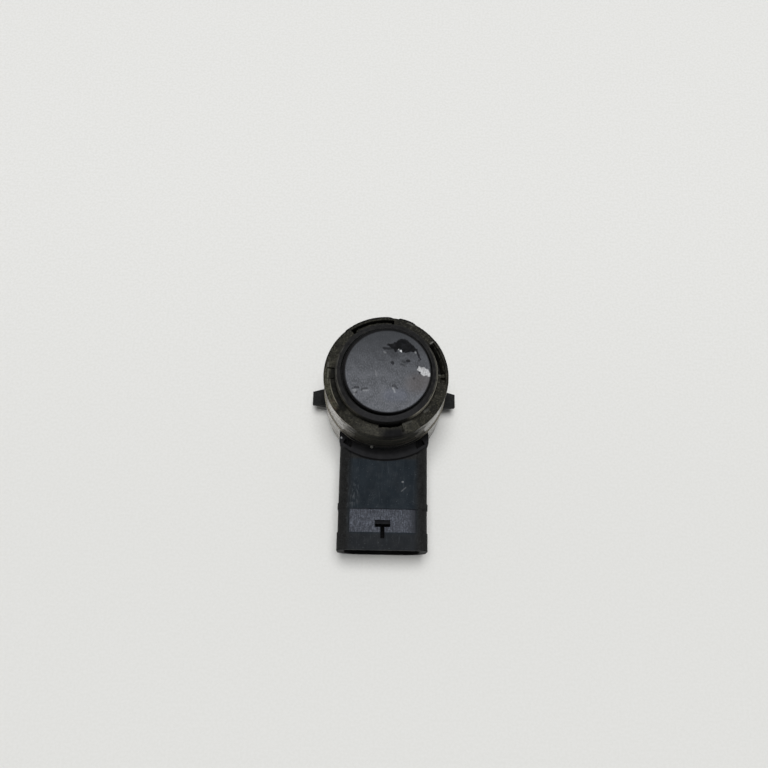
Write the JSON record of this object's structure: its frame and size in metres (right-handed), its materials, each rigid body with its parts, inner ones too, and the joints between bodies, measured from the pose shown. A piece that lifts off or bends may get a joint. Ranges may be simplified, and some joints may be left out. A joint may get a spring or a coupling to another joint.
{
  "type": "parking sensor",
  "caption": "Round ultrasonic parking sensor: painted cup in a soft ring, front ring with arc pockets, barrel with latch lugs and a side connector shroud.",
  "frame": {"origin": "centre of the back face, on the axis of the sensor head", "axes": "+Z out of the sensing face, the connector points along -Y, X runs from lug to lug"},
  "size_m": [0.0286, 0.0421, 0.024],
  "materials": {
    "housing_plastic": "black moulded plastic, worn, blue-grey sheen on top",
    "cover_plastic": "black moulded plastic",
    "ring_plastic": "black plastic under olive dust",
    "silicone": "soft dark silicone",
    "face_paint": "grey paint on aluminium, chipped and scratched",
    "piezo_ceramic": "fired ceramic with silver face",
    "damping_foam": "soft foam",
    "carrier_plastic": "natural moulded plastic",
    "tinned_pin": "tinned",
    "signal_insulation": "thin insulated wire",
    "ground_insulation": "thin insulated wire",
    "board_laminate": "solder-masked laminate",
    "ferrite": "sintered ferrite",
    "bobbin_plastic": "natural moulded plastic",
    "enamelled_copper": "enamelled copper wire",
    "chip_mould": "moulded resin",
    "capacitor_mould": "moulded resin",
    "capacitor_ceramic": "fired ceramic with tinned ends",
    "resistor_ceramic": "fired ceramic with tinned ends",
    "tinned_terminal": "tinned brass"
  },
  "bodies": {
    "root": {"housing": "housing_plastic", "back_cover": "cover_plastic", "front_ring": "ring_plastic", "decoupling_ring": "silicone", "transducer_cup": "face_paint", "piezo_disc": "piezo_ceramic", "damping_pad": "damping_foam", "contact_carrier": "carrier_plastic", "signal_contact": "tinned_pin", "ground_contact": "tinned_pin", "signal_lead": "signal_insulation", "ground_lead": "ground_insulation", "circuit_board": "board_laminate", "core_lower": "ferrite", "core_upper": "ferrite", "bobbin": "bobbin_plastic", "winding": "enamelled_copper", "signal_chip": "chip_mould", "buffer_capacitor": "capacitor_mould", "protection_diode": "chip_mould", "ceramic_capacitors": "capacitor_ceramic", "chip_resistors": "resistor_ceramic", "supply_terminal": "tinned_terminal", "data_terminal": "tinned_terminal", "ground_terminal": "tinned_terminal"}
  },
  "joints": []
}
